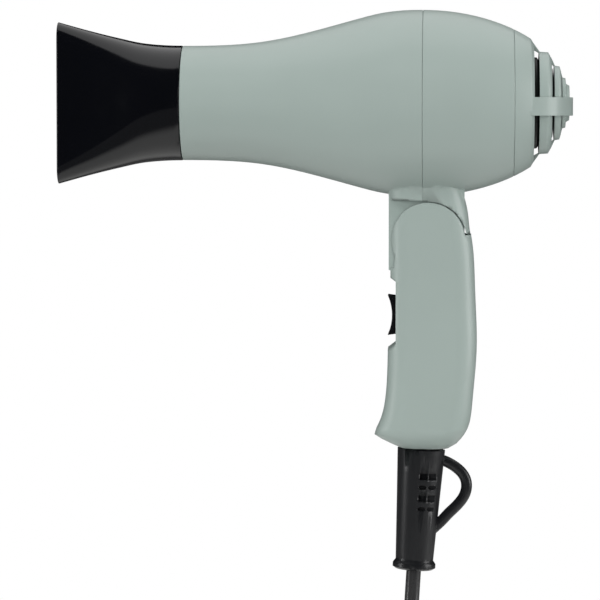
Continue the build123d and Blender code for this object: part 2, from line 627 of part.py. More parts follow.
# ---- cord clamp and leads inside the handle
CLAMP_WIDTH = 16.0
CLAMP_HEIGHT = 5.0
LEAD_R = 1.0
SHEATH_TOP = 79.0         # fold axis down to where the sheath ends
HANDLE_MID = Plane(origin=(PIVOT_X + CABLE_DROP_X, 0, PIVOT_Z))
with BuildPart() as cord_clamp:
    with BuildSketch(HANDLE_MID.offset(-SHEATH_TOP + 1)):
        RectangleRounded(CLAMP_HEIGHT + 6, CLAMP_WIDTH, 2.0)
        with Locations((0, -6), (0, 6)):
            Circle(1.1, mode=Mode.SUBTRACT)
    extrude(amount=CLAMP_HEIGHT)
    with BuildSketch(RELIEF):
        Circle(CORD_D / 2 + SEAM)
    extrude(amount=HANDLE_DROP, mode=Mode.SUBTRACT)
cord_clamp.part.label = "cord_clamp"
export_step(cord_clamp.part, "parts/cord_clamp.step")

with BuildPart() as clamp_screws:
    with BuildSketch(HANDLE_MID.offset(-SHEATH_TOP + 1 + CLAMP_HEIGHT + SEAM)):
        with Locations((0, -6), (0, 6)):
            Circle(2.0)
    extrude(amount=1.4)
    with BuildSketch(HANDLE_MID.offset(-SHEATH_TOP + 1 + CLAMP_HEIGHT + SEAM)):
        with Locations((0, -6), (0, 6)):
            Circle(1.05)
    extrude(amount=-CLAMP_HEIGHT - 2)
clamp_screws.part.label = "clamp_screws"
export_step(clamp_screws.part, "parts/clamp_screws.step")

with BuildPart() as cord_sheath:
    with BuildSketch(RELIEF.offset(-RELIEF_LENGTH - FLANGE_THICK)):
        Circle(CORD_D / 2 - RUN_GAP)
    extrude(amount=RELIEF_LENGTH + FLANGE_THICK + HANDLE_DROP - SHEATH_TOP + CLAMP_HEIGHT)
cord_sheath.part.label = "cord_sheath"
export_step(cord_sheath.part, "parts/cord_sheath.step")

LEAD_X = PIVOT_X + CASE_BACK + TERMINAL_LENGTH
with BuildPart() as handle_leads:
    for side in (-1, 1):
        start = RELIEF.from_local_coords((0, side * 1.4, HANDLE_DROP - SHEATH_TOP + CLAMP_HEIGHT + SEAM))
        height = PIVOT_Z - ROCKER_DROP + side * TERMINAL_SPOTS[-1]
        with BuildLine():
            wire = FilletPolyline(
                start, start + Vector(0.2, side * 1.2, 8), (LEAD_X + 2.6, side * 3.6, height - 12),
                (LEAD_X + 2.6, 0, height - 4), (LEAD_X + 1.3, 0, height), radius=1.8,
            )
        with BuildSketch(Plane(origin=wire @ 0, z_dir=wire % 0)):
            Circle(LEAD_R)
        sweep(path=wire)
handle_leads.part.label = "handle_leads"
export_step(handle_leads.part, "parts/handle_leads.step")

# ---- concentrator nozzle: a round socket that goes over into a tall slot
NOZZLE_WALL = 1.5
NOZZLE_ROUND = 0.998      # corner radius of each section, as a share of its half width
NOZZLE_SEAM = 0.3         # gap to the barrel's front edge
MOUTH_REACH = 155.4       # fold axis forward to the nozzle's mouth
# stations: share of the length, half height, half width, corner radius
NOZZLE_PLANS = [
    (0.0, NOSE_R + 0.1, NOSE_R + 0.1), (0.30, 24.9, 21.0), (0.53, 27.4, 15.6), (0.76, 30.4, 10.8), (1.0, 33.9, 7.4),
]
NOZZLE_BACK_X = NOSE_X - NOZZLE_SEAM
NOZZLE_LENGTH = NOZZLE_BACK_X - (PIVOT_X - MOUTH_REACH)


def nozzle_solid(inset, back_x, front_x):
    """Lofted nozzle, inset from its skin, between two places along the barrel."""
    with BuildPart() as shape:
        for share, height, width in NOZZLE_PLANS:
            x = NOZZLE_BACK_X - share * NOZZLE_LENGTH
            x = back_x if share == 0 else front_x if share == 1 else x
            with BuildSketch(barrel_plane(x)):
                RectangleRounded(2 * (width - inset), 2 * (height - inset), (width - inset) * NOZZLE_ROUND)
        loft()
    return shape.part


SOCKET_DEPTH = SPIGOT_LENGTH + 0.2
with BuildPart() as nozzle_passage:
    add(nozzle_solid(NOZZLE_WALL, NOZZLE_BACK_X, NOZZLE_BACK_X - NOZZLE_LENGTH))
    split(bisect_by=Plane(origin=(NOZZLE_BACK_X - SOCKET_DEPTH, 0, 0), z_dir=(1, 0, 0)), keep=Keep.BOTTOM)
    # socket for the barrel's collar
    with BuildSketch(barrel_plane(NOZZLE_BACK_X)):
        Circle(SPIGOT_R + RUN_GAP)
    extrude(amount=-SOCKET_DEPTH - RUN_GAP)

with BuildPart() as concentrator_nozzle:
    add(nozzle_solid(0, NOZZLE_BACK_X, NOZZLE_BACK_X - NOZZLE_LENGTH))
    add(nozzle_passage.part, mode=Mode.SUBTRACT)
concentrator_nozzle.part.label = "concentrator_nozzle"
export_step(concentrator_nozzle.part, "parts/concentrator_nozzle.step")

# ---- inlet cap: end of the dome, with stepped rings carried by a broad rib and a thin one
CAP_SKIRT = 3.0
SKIRT_R = dome_radius(CAP_X) - WALL - RUN_GAP
RING_DEPTH = 17.6         # rim back to the tip of the broad rib
BROAD_RIB = 7.6
THIN_RIB = 2.6
TIP_REACH = RIM_REACH + RING_DEPTH
RIM_R = dome_radius(RIM_X)
AXIS_SIDE = Plane(origin=(PIVOT_X, 0, AXIS_Z), x_dir=(1, 0, 0), z_dir=(0, -1, 0))
# half sections of the rings: distance back from the rim's end, and radius as a share of the rim's
OUTER_RING = [(3.3, 0.80), (7.2, 0.79), (8.5, 0.70), (8.5, 0.62), (5.2, 0.62), (3.3, 0.74)]
MIDDLE_RING = [(9.6, 0.585), (11.9, 0.57), (12.5, 0.50), (12.5, 0.42), (11.0, 0.42), (9.6, 0.50)]
HUB = [(12.9, 0.40), (14.4, 0.385), (14.6, 0.30), (16.0, 0.27), (16.2, 0), (13.6, 0), (12.9, 0.34)]
THIN_PROFILE = [
    (-0.6, 0.98), (1.1, 0.93), (3.6, 0.80), (8.4, 0.71), (10.0, 0.58), (12.4, 0.50), (13.2, 0.39), (14.7, 0.30),
    (14.7, 0.05), (13.0, 0.05), (12.2, 0.30), (10.6, 0.42), (9.5, 0.57), (6.4, 0.68), (3.6, 0.77), (-0.6, 0.86),
]
RIB_DROP = 1.5            # the broad rib's middle lies below the barrel's axis


def from_rim(points):
    """Points given from the rim's end, as places in a plane that starts above the fold axis."""
    return [(RIM_REACH + back, share * RIM_R) for back, share in points]


with BuildPart() as dome_end:
    add(barrel_solid(0, RIM_X))
    add(barrel_solid(WALL, RIM_X), mode=Mode.SUBTRACT)
    split(bisect_by=Plane(origin=(CAP_X + SEAM / 2, 0, 0), z_dir=(1, 0, 0)), keep=Keep.TOP)

with BuildPart() as inlet_cap:
    add(dome_end.part)
    with BuildSketch(AXIS_SIDE):
        # rounded rim, and the skirt inside the rear housing
        with BuildLine():
            Polyline(from_rim([(-0.4, 0.99), (0, 1.0), (1.1, 0.93), (1.1, 0.86), (-1.2, 0.86), (-1.2, 0.95)]), close=True)
        make_face()
        with BuildLine():
            Polyline(
                (CAP_REACH - CAP_SKIRT, SKIRT_R - 1.2), (CAP_REACH - CAP_SKIRT, SKIRT_R), (CAP_REACH + SEAM, SKIRT_R),
                (CAP_REACH + 2.5, SKIRT_R - 0.6), (CAP_REACH + 2.5, SKIRT_R - 2.4), close=True,
            )
        make_face()
        for ring in (OUTER_RING, MIDDLE_RING, HUB):
            with BuildLine():
                Polyline(from_rim(ring), close=True)
            make_face()
    revolve(axis=BARREL_AXIS)
    # broad rib, from side to side over the tip
    with BuildSketch(Plane(origin=(PIVOT_X, 0, AXIS_Z - RIB_DROP))):
        with BuildLine():
            outer = Spline(
                (RIM_REACH - 0.4, RIM_R), (RIM_REACH + 9.5, RIM_R * 0.80), (RIM_REACH + 15.6, RIM_R * 0.40),
                (TIP_REACH, 0), tangents=((1, -0.3), (0, -1)),
            )
            Polyline(outer @ 1, (TIP_REACH - 3.2, 0))
            inner = Spline(
                (TIP_REACH - 3.2, 0), (RIM_REACH + 8.0, RIM_R * 0.66), (RIM_REACH - 0.8, RIM_R * 0.88),
                tangents=((0, 1), (-1, 0.4)),
            )
            Line(inner @ 1, outer @ 0)
        make_face()
        mirror(about=Plane.XZ)
    extrude(amount=BROAD_RIB / 2, both=True)
    # thin rib, from top to bottom
    with BuildSketch(AXIS_SIDE):
        with BuildLine():
            Polyline(from_rim(THIN_PROFILE), close=True)
        make_face()
        mirror(about=Plane.XZ)
    extrude(amount=THIN_RIB / 2, both=True)
inlet_cap.part.label = "inlet_cap"
export_step(inlet_cap.part, "parts/inlet_cap.step")

SCREEN_THICK = 0.8
SCREEN_X = CAP_X - CAP_SKIRT - SEAM - SCREEN_THICK
# cup of the screen, behind the rings: distance back from the rim's end, and radius
SCREEN_CUP = [(2.4, 19.0), (4.6, 15.8), (8.1, 15.4), (9.0, 14.2)]
SCREEN_BACK = PIVOT_X + RIM_REACH + SCREEN_CUP[-1][0]
with BuildPart() as inlet_screen:
    with BuildSketch(BARREL_SIDE):
        with BuildLine():
            skin = [(PIVOT_X + RIM_REACH + back, radius) for back, radius in SCREEN_CUP]
            inside = [(x - SCREEN_THICK, radius - SCREEN_THICK) for x, radius in reversed(skin)]
            Polyline(
                (SCREEN_X, SKIRT_R), (SCREEN_X + SCREEN_THICK, SKIRT_R), (SCREEN_X + SCREEN_THICK, skin[0][1]), *skin,
                (SCREEN_BACK, 0), (SCREEN_BACK - SCREEN_THICK, 0), *inside, (SCREEN_X, skin[0][1] - SCREEN_THICK),
                close=True,
            )
        make_face()
    revolve(axis=BARREL_AXIS)
    # holes in the cup's end and in its flange
    with BuildSketch(barrel_plane(SCREEN_BACK)):
        for row in range(1, 4):
            with PolarLocations(row * 3.7, 6 * row):
                Circle(1.2)
    extrude(amount=-2 * SCREEN_THICK, mode=Mode.SUBTRACT)
    with BuildSketch(barrel_plane(SCREEN_X + SCREEN_THICK)):
        with PolarLocations((SKIRT_R + SCREEN_CUP[0][1]) / 2, 30):
            Circle(1.7)
    extrude(amount=-SCREEN_THICK, mode=Mode.SUBTRACT)
inlet_screen.part.label = "inlet_screen"
export_step(inlet_screen.part, "parts/inlet_screen.step")

# ---- outlet: grille and heater
OUTLET_R = SPIGOT_R - SPIGOT_WALL - SEAM
GRILLE_THICK = 2.0
GRILLE_X = NOSE_X - SPIGOT_LENGTH + 0.6
with BuildPart() as outlet_grille:
    with BuildSketch(barrel_plane(GRILLE_X)):
        for outer in (OUTLET_R, 13.6, 7.4):
            Circle(outer)
            Circle(outer - 1.5, mode=Mode.SUBTRACT)
        Circle(2.4)
        for angle in (0, 60, 120):
            with Locations(Location((0, 0, 0), (0, 0, angle))):
                Rectangle(2 * OUTLET_R - 1, 1.2)
    extrude(amount=GRILLE_THICK)
outlet_grille.part.label = "outlet_grille"
export_step(outlet_grille.part, "parts/outlet_grille.step")

SLEEVE_LENGTH = 60.0
SLEEVE_WALL = 0.6
SLEEVE_X = GRILLE_X + GRILLE_THICK + 0.5
BOARD_LENGTH = 54.0
BOARD_HALF = 17.0
BOARD_THICK = 0.8
BOARD_X = SLEEVE_X + 3.0
COIL_WIRE_R = 0.4
COIL_WIND_R = BOARD_HALF + COIL_WIRE_R + 0.2
COIL_PITCH = 8.0
WIND_LENGTH = 40.0
with BuildPart() as mica_sleeve:
    with BuildSketch(barrel_plane(SLEEVE_X)):
        Circle(OUTLET_R - SEAM)
        Circle(OUTLET_R - SEAM - SLEEVE_WALL, mode=Mode.SUBTRACT)
    extrude(amount=SLEEVE_LENGTH)
mica_sleeve.part.label = "mica_sleeve"
export_step(mica_sleeve.part, "parts/mica_sleeve.step")


def mica_board(turn, slot_from):
    """Board along the barrel; two of them cross, each slotted for half its length."""
    with BuildPart() as board:
        with BuildSketch(barrel_plane(BOARD_X)):
            with Locations(Location((0, 0, 0), (0, 0, turn))):
                Rectangle(2 * BOARD_HALF, BOARD_THICK)
        extrude(amount=BOARD_LENGTH)
        with BuildSketch(barrel_plane(BOARD_X + slot_from * BOARD_LENGTH / 2)):
            Rectangle(BOARD_THICK + 2 * RUN_GAP, BOARD_THICK + 2 * RUN_GAP)
        extrude(amount=BOARD_LENGTH / 2 + RUN_GAP, mode=Mode.SUBTRACT)
    return board.part


mica_board_flat = mica_board(0, 0)
mica_board_flat.label = "mica_board_flat"
export_step(mica_board_flat, "parts/mica_board_flat.step")
mica_board_upright = mica_board(90, 1)
mica_board_upright.label = "mica_board_upright"
export_step(mica_board_upright, "parts/mica_board_upright.step")

for name, start in (("heating_coil_high", 3.0), ("heating_coil_low", 3.0 + COIL_PITCH / 2)):
    with BuildPart() as heating_coil:
        with BuildLine():
            turns = Helix(
                pitch=COIL_PITCH, height=WIND_LENGTH, radius=COIL_WIND_R, center=(BOARD_X + start, 0, AXIS_Z),
                direction=(1, 0, 0),
            )
        with BuildSketch(Plane(origin=turns @ 0, z_dir=turns % 0)):
            Circle(COIL_WIRE_R)
        sweep(path=turns, is_frenet=True)
    heating_coil.part.label = name
    export_step(heating_coil.part, f"parts/{name}.step")

FUSE_X = BOARD_X + BOARD_LENGTH - 12
with BuildPart() as thermostat:
    with BuildSketch(Plane(origin=(FUSE_X, 8.5, AXIS_Z + BOARD_THICK / 2 + SEAM))):
        RectangleRounded(9, 7, 1.0)
    extrude(amount=3.4)
    fillet(thermostat.faces().sort_by(Axis.Z)[-1].edges(), radius=0.6)
thermostat.part.label = "thermostat"
export_step(thermostat.part, "parts/thermostat.step")

with BuildPart() as thermal_fuse:
    with BuildSketch(across_plane(FUSE_X - 5, AXIS_Z + BOARD_THICK / 2 + SEAM + 1.7)):
        with Locations((-8, 0)):
            Circle(1.7)
    extrude(amount=10)
    with BuildSketch(across_plane(FUSE_X - 9, AXIS_Z + BOARD_THICK / 2 + SEAM + 1.7)):
        with Locations((-8, 0)):
            Circle(0.4)
    extrude(amount=18)
thermal_fuse.part.label = "thermal_fuse"
export_step(thermal_fuse.part, "parts/thermal_fuse.step")

# ---- motor in its air guide, and the fan
MOTOR_R = 12.0
MOTOR_LENGTH = 26.0
MOTOR_FRONT = PIVOT_X - 32.0
CAN_WALL = 1.0
SHAFT_R = 1.0
BUSH_R = 2.6
BUSH_LENGTH = 3.0
GUIDE_R = WAIST_R - WALL - 3.2
GUIDE_X = MOTOR_FRONT + 8.0
GUIDE_LENGTH = 15.0
GUIDE_WALL = 1.4
VANES = 6
FAN_X = MOTOR_FRONT + MOTOR_LENGTH + 5.0
FAN_DEPTH = 13.0
FAN_R = WAIST_R - WALL - 4.4
FAN_BLADES = 7
FAN_HUB_R = 9.0
MOTOR_BACK = MOTOR_FRONT + MOTOR_LENGTH

with BuildPart() as air_guide:
    with BuildSketch(barrel_plane(GUIDE_X)):
        Circle(GUIDE_R)
        Circle(GUIDE_R - GUIDE_WALL, mode=Mode.SUBTRACT)
        Circle(MOTOR_R + RUN_GAP + GUIDE_WALL)
        with PolarLocations((GUIDE_R + MOTOR_R) / 2, VANES):
            Rectangle(GUIDE_R - MOTOR_R - GUIDE_WALL, GUIDE_WALL)
        Circle(MOTOR_R + RUN_GAP, mode=Mode.SUBTRACT)
    extrude(amount=GUIDE_LENGTH)
    # way for the leads, at the bottom of the ring
    with BuildSketch(across_plane(GUIDE_X, AXIS_Z - GUIDE_R)):
        Rectangle(14, 2 * GUIDE_WALL + 5)
    extrude(amount=GUIDE_LENGTH, mode=Mode.SUBTRACT)
air_guide.part.label = "air_guide"
export_step(air_guide.part, "parts/air_guide.step")

with BuildPart() as motor_can:
    with BuildSketch(barrel_plane(MOTOR_FRONT)):
        Circle(MOTOR_R)
    extrude(amount=MOTOR_LENGTH)
    with BuildSketch(barrel_plane(MOTOR_FRONT)):
        Circle(MOTOR_R - CAN_WALL)
    extrude(amount=MOTOR_LENGTH - CAN_WALL, mode=Mode.SUBTRACT)
    with BuildSketch(barrel_plane(MOTOR_BACK)):
        Circle(BUSH_R + RUN_GAP)
    extrude(amount=-CAN_WALL, mode=Mode.SUBTRACT)
motor_can.part.label = "motor_can"
export_step(motor_can.part, "parts/motor_can.step")

with BuildPart() as motor_end_cap:
    with BuildSketch(barrel_plane(MOTOR_FRONT - SEAM)):
        Circle(MOTOR_R)
        Circle(BUSH_R + RUN_GAP, mode=Mode.SUBTRACT)
        with Locations((-5.5, 0), (5.5, 0)):
            Rectangle(0.9, 3.6, mode=Mode.SUBTRACT)
    extrude(amount=-2.0)
motor_end_cap.part.label = "motor_end_cap"
export_step(motor_end_cap.part, "parts/motor_end_cap.step")

with BuildPart() as brush_terminals:
    with BuildSketch(barrel_plane(MOTOR_FRONT + 1.5)):
        with Locations((-5.5, 0), (5.5, 0)):
            Rectangle(0.7, 3.4)
    extrude(amount=-6.5)
brush_terminals.part.label = "brush_terminals"
export_step(brush_terminals.part, "parts/brush_terminals.step")

with BuildPart() as motor_bushes:
    for x in (MOTOR_FRONT - SEAM - 2.5, MOTOR_BACK - BUSH_LENGTH + 1.0):
        with BuildSketch(barrel_plane(x)):
            Circle(BUSH_R)
            Circle(SHAFT_R + RUN_GAP, mode=Mode.SUBTRACT)
        extrude(amount=BUSH_LENGTH)
motor_bushes.part.label = "motor_bushes"
export_step(motor_bushes.part, "parts/motor_bushes.step")

with BuildPart() as motor_magnets:
    with BuildSketch(barrel_plane(MOTOR_FRONT + 4)):
        Circle(MOTOR_R - CAN_WALL - SEAM)
        Circle(MOTOR_R - CAN_WALL - 2.2, mode=Mode.SUBTRACT)
        Rectangle(7, 2 * MOTOR_R, mode=Mode.SUBTRACT)
    extrude(amount=MOTOR_LENGTH - 9)
motor_magnets.part.label = "motor_magnets"
export_step(motor_magnets.part, "parts/motor_magnets.step")

with BuildPart() as motor_armature:
    with BuildSketch(barrel_plane(MOTOR_FRONT + 5)):
        Circle(MOTOR_R - CAN_WALL - 2.8)
        Circle(SHAFT_R + RUN_GAP, mode=Mode.SUBTRACT)
        with PolarLocations(MOTOR_R - CAN_WALL - 4.2, 3):
            Rectangle(5.0, 1.4, mode=Mode.SUBTRACT)
    extrude(amount=MOTOR_LENGTH - 11)
motor_armature.part.label = "motor_armature"
export_step(motor_armature.part, "parts/motor_armature.step")

with BuildPart() as motor_shaft:
    with BuildSketch(barrel_plane(MOTOR_FRONT - 3)):
        Circle(SHAFT_R)
    extrude(amount=FAN_X + FAN_DEPTH + 2.5 - MOTOR_FRONT + 3)
motor_shaft.part.label = "motor_shaft"
export_step(motor_shaft.part, "parts/motor_shaft.step")

with BuildPart() as fan_impeller:
    with BuildSketch(barrel_plane(FAN_X)):
        Circle(FAN_HUB_R)
    extrude(amount=FAN_DEPTH)
    fillet(fan_impeller.faces().sort_by(Axis.X)[-1].edges(), radius=4.0)
    # hollow behind the hub's face, round a core that grips the shaft
    with BuildSketch(barrel_plane(FAN_X)):
        Circle(FAN_HUB_R - 1.6)
        Circle(3.0, mode=Mode.SUBTRACT)
    extrude(amount=FAN_DEPTH - 4.0, mode=Mode.SUBTRACT)
    for number in range(FAN_BLADES):
        angle = math.radians(number * 360 / FAN_BLADES)
        out = Vector(0, math.cos(angle), math.sin(angle))
        across = Vector(0, -math.sin(angle), math.cos(angle))
        centre = Vector(FAN_X + FAN_DEPTH / 2, 0, AXIS_Z)
        for_root = Plane(origin=centre + out * (FAN_HUB_R - 1.4), x_dir=Vector(1, 0, 0) + across * 0.7, z_dir=out)
        for_tip = Plane(origin=centre + out * FAN_R, x_dir=Vector(1, 0, 0) + across * 1.5, z_dir=out)
        with BuildSketch(for_root):
            SlotOverall(FAN_DEPTH - 3, 1.6)
        with BuildSketch(for_tip):
            SlotOverall(FAN_DEPTH + 3, 1.2)
        loft()
    with BuildSketch(barrel_plane(FAN_X)):
        Circle(SHAFT_R + RUN_GAP)
    extrude(amount=FAN_DEPTH, mode=Mode.SUBTRACT)
fan_impeller.part.label = "fan_impeller"
export_step(fan_impeller.part, "parts/fan_impeller.step")

with BuildPart() as fan_clip:
    with BuildSketch(barrel_plane(FAN_X + FAN_DEPTH + SEAM)):
        Circle(3.2)
        Circle(SHAFT_R + RUN_GAP, mode=Mode.SUBTRACT)
    extrude(amount=1.6)
fan_clip.part.label = "fan_clip"
export_step(fan_clip.part, "parts/fan_clip.step")

BOARD_FACE = MOTOR_FRONT - 7.0
with BuildPart() as rectifier_board:
    with BuildSketch(barrel_plane(BOARD_FACE)):
        Circle(10.5)
        with Locations((-5.5, 0), (5.5, 0)):
            Rectangle(1.1, 3.8, mode=Mode.SUBTRACT)
    extrude(amount=1.4)
rectifier_board.part.label = "rectifier_board"
export_step(rectifier_board.part, "parts/rectifier_board.step")

with BuildPart() as rectifier_diodes:
    with BuildSketch(barrel_plane(BOARD_FACE - SEAM)):
        with Locations((-3, 6), (3, 6), (-3, -6), (3, -6)):
            RectangleRounded(4.2, 2.6, 1.2)
    extrude(amount=-2.6)
rectifier_diodes.part.label = "rectifier_diodes"
export_step(rectifier_diodes.part, "parts/rectifier_diodes.step")

with BuildPart() as barrel_leads:
    for side in (-1, 1):
        with BuildLine():
            wire = FilletPolyline(
                (PIVOT_X - 8.5, side * 3.0, PIVOT_Z - 6), (PIVOT_X - 8.8, side * 3.0, AXIS_Z - 40),
                (PIVOT_X - 14.0, side * 3.2, AXIS_Z - 32), (BOARD_FACE + 3.0, side * 4.0, AXIS_Z - 17),
                (BOARD_FACE + 2.6, side * 4.2, AXIS_Z - 8.5), radius=2.0,
            )
        with BuildSketch(Plane(origin=wire @ 0, z_dir=wire % 0)):
            Circle(LEAD_R)
        sweep(path=wire)
barrel_leads.part.label = "barrel_leads"
export_step(barrel_leads.part, "parts/barrel_leads.step")
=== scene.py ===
import math

import bpy
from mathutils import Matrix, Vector


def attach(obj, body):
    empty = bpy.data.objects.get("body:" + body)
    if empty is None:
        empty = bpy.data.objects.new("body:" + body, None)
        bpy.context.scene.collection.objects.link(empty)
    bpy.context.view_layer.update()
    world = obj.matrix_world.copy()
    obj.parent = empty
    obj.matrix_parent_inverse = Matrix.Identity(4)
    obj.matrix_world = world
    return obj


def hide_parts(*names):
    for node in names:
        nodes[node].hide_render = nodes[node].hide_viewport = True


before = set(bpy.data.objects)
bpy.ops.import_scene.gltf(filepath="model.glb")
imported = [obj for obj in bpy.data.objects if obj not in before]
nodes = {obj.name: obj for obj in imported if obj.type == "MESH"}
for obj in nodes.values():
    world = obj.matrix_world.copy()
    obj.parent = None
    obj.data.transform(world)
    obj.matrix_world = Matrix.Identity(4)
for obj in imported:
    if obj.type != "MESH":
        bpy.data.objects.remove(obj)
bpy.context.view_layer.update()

# ==== Heater and leads ====
# Crossed mica boards wound with resistance wire, in a mica sleeve that lines the nose, fed by
# silicone leads. Dry, dull and brown: only glimpsed through the outlet and the inlet.


def linear(code):
    """sRGB hex turned to the linear colour that a shader takes."""
    parts = [int(code[i:i + 2], 16) / 255 for i in (0, 2, 4)]
    return [v / 12.92 if v <= 0.04045 else ((v + 0.055) / 1.055) ** 2.4 for v in parts] + [1.0]


def add_node(tree, kind, inputs=None, links=None, **settings):
    """Adds one node with its settings, its own input values and its links."""
    made = tree.nodes.new(kind)
    for key, value in settings.items():
        setattr(made, key, value)
    for key, value in (inputs or {}).items():
        made.inputs[key].default_value = value
    for key, socket in (links or {}).items():
        tree.links.new(socket, made.inputs[key])
    return made


def finish_of(name, light, dark, patch_mm, grain_mm, grain_depth_mm, roughness, metallic=0.0):
    """A finish whose tone drifts between two colours over patch_mm, with a grain of grain_mm in its skin."""
    material = bpy.data.materials.new(name)
    material.use_nodes = True
    tree = material.node_tree
    skin = tree.nodes["Principled BSDF"]
    skin.inputs["Metallic"].default_value = metallic
    place = add_node(tree, "ShaderNodeTexCoord").outputs["Object"]
    drift = add_node(
        tree, "ShaderNodeTexNoise", {"Scale": 1000 / patch_mm, "Detail": 3.0}, {"Vector": place})
    tone = add_node(
        tree, "ShaderNodeMix", {"A": linear(dark), "B": linear(light)},
        {"Factor": drift.outputs["Fac"]}, data_type="RGBA")
    tree.links.new(tone.outputs["Result"], skin.inputs["Base Color"])
    grain = add_node(
        tree, "ShaderNodeTexNoise", {"Scale": 1000 / grain_mm, "Detail": 2.0}, {"Vector": place})
    wear = add_node(
        tree, "ShaderNodeMapRange",
        {"From Min": 0.3, "From Max": 0.7, "To Min": roughness * 0.88, "To Max": roughness * 1.12},
        {"Value": grain.outputs["Fac"]})
    tree.links.new(wear.outputs["Result"], skin.inputs["Roughness"])
    relief = add_node(
        tree, "ShaderNodeBump", {"Strength": 1.0, "Distance": grain_depth_mm / 1000},
        {"Height": grain.outputs["Fac"]})
    tree.links.new(relief.outputs["Normal"], skin.inputs["Normal"])
    return material


def dress(piece, material):
    """Gives a piece one finish in place of what it came with."""
    piece.data.materials.clear()
    piece.data.materials.append(material)


def give(material, *names):
    """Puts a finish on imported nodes."""
    for name in names:
        dress(nodes[name], material)


mica = finish_of("pressed mica", "B7A27A", "8F7A52", 4.0, 1.2, 0.03, 0.55)
give(mica, "mica_sleeve", "mica_board_flat", "mica_board_upright")
heater_wire = finish_of("oxidised resistance wire", "8A8078", "5C534C", 3.0, 0.4, 0.01, 0.42, metallic=1.0)
give(heater_wire, "heating_coil_high", "heating_coil_low")
lead_silicone = finish_of("silicone lead sleeving", "C9C9C4", "B4B4AE", 5.0, 0.6, 0.01, 0.5)
give(lead_silicone, "barrel_leads", "handle_leads")
phenolic = finish_of("phenolic component case", "2A2624", "1C1917", 2.0, 0.6, 0.015, 0.5)
give(phenolic, "thermostat", "thermal_fuse", "rectifier_diodes")
paper_board = finish_of("paper laminate board", "B68A4A", "9A7238", 2.0, 0.8, 0.02, 0.6)
give(paper_board, "rectifier_board")

# ==== Motor and fan ====
# Small direct-current motor in a zinc-plated can, pressed into a moulded air guide; the fan and the
# two inner grilles are glass-filled nylon, dull and dark, and are seen through the slots.
zinc = finish_of("zinc-plated steel", "B4B2AC", "9C9A95", 6.0, 1.0, 0.006, 0.34, metallic=1.0)
give(zinc, "motor_can", "motor_shaft", "fan_clip", "detent_spring", "clamp_screws", "handle_screws")
ferrite = finish_of("sintered ferrite and laminations", "3A3836", "242220", 1.6, 0.4, 0.02, 0.65)
give(ferrite, "motor_magnets", "motor_armature")
brass = finish_of("brass and sintered bronze", "C8A259", "A98545", 3.0, 0.5, 0.008, 0.3, metallic=1.0)
give(brass, "motor_bushes", "brush_terminals", "switch_terminals")
nylon = finish_of("natural nylon", "DDD9CC", "CFCABB", 5.0, 0.7, 0.012, 0.45)
give(nylon, "motor_end_cap", "hinge_washers", "cord_clamp")
dark_nylon = finish_of("glass-filled dark nylon", "1B1F1E", "111413", 3.0, 0.5, 0.03, 0.5)
give(dark_nylon, "fan_impeller", "air_guide", "outlet_grille", "inlet_screen")

# ==== Barrel housings ====
# Two injection-moulded ABS shells in matt sage green, parted across the widest ring. The tool was
# spark-eroded, so the skin scatters light softly; each shell's edge is eased where they meet.
SPLIT_X = -0.0043
CAP_X = 0.0335
BARREL_Z = 0.1018
SEAM_SLACK = 0.00008
NECK_TOP_Z = 0.0625
EASED_EDGE = 0.0003
# outer radius inside which an edge at each seam belongs to the shell's inner face
SPLIT_INNER_R = 0.0385
CAP_INNER_R = 0.0303


def deselect():
    """Leaves edit mode and nothing selected, as an operator acts on all that is."""
    if bpy.context.object and bpy.context.object.mode != "OBJECT":
        bpy.ops.object.mode_set(mode="OBJECT")
    bpy.ops.object.select_all(action="DESELECT")


def take_up(piece):
    """Makes one piece the only one selected, and active."""
    deselect()
    piece.select_set(True)
    bpy.context.view_layer.objects.active = piece


def pick_edges(piece, wanted):
    """Selects the edges whose two ends pass the test, and stays in edit mode."""
    bpy.ops.object.mode_set(mode="EDIT")
    bpy.ops.mesh.select_mode(type="EDGE")
    bpy.ops.mesh.select_all(action="DESELECT")
    bpy.ops.object.mode_set(mode="OBJECT")
    for edge in piece.data.edges:
        ends = [piece.data.vertices[i].co for i in edge.vertices]
        edge.select = wanted(ends[0], ends[1])
    bpy.ops.object.mode_set(mode="EDIT")


def add_modifier(piece, kind, **settings):
    """Adds a modifier with its settings and applies it."""
    take_up(piece)
    modifier = piece.modifiers.new(kind.lower(), kind)
    for key, value in settings.items():
        setattr(modifier, key, value)
    bpy.ops.object.modifier_apply(modifier=modifier.name)


def moulding_of(name, sharp_degrees=30):
    """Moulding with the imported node's own shape: its triangles are joined and its curves shaded smooth."""
    moulding = nodes[name].copy()
    moulding.data = nodes[name].data.copy()
    moulding.name = name + "_moulding"
    bpy.context.collection.objects.link(moulding)
    take_up(moulding)
    bpy.ops.object.mode_set(mode="EDIT")
    bpy.ops.mesh.select_all(action="SELECT")
    bpy.ops.mesh.remove_doubles(threshold=0.000002)
    bpy.ops.mesh.dissolve_limited(angle_limit=math.radians(0.2))
    bpy.ops.object.mode_set(mode="OBJECT")
    bpy.ops.object.shade_smooth_by_angle(angle=math.radians(sharp_degrees))
    add_modifier(moulding, "WEIGHTED_NORMAL", keep_sharp=True, weight=80)
    return moulding


def ease_edges_at(piece, seam_x, radius):
    """Bevels the outer edge ring of a barrel shell where it meets the next one."""
    def on_seam(a, b):
        flat = abs(a.x - seam_x) < SEAM_SLACK and abs(b.x - seam_x) < SEAM_SLACK
        outer = min(math.hypot(p.y, p.z - BARREL_Z) for p in (a, b)) > radius
        return flat and outer and a.z > NECK_TOP_Z and b.z > NECK_TOP_Z
    take_up(piece)
    pick_edges(piece, on_seam)
    bpy.ops.mesh.bevel(offset=EASED_EDGE, segments=2, affect="EDGES", clamp_overlap=True)
    bpy.ops.object.mode_set(mode="OBJECT")


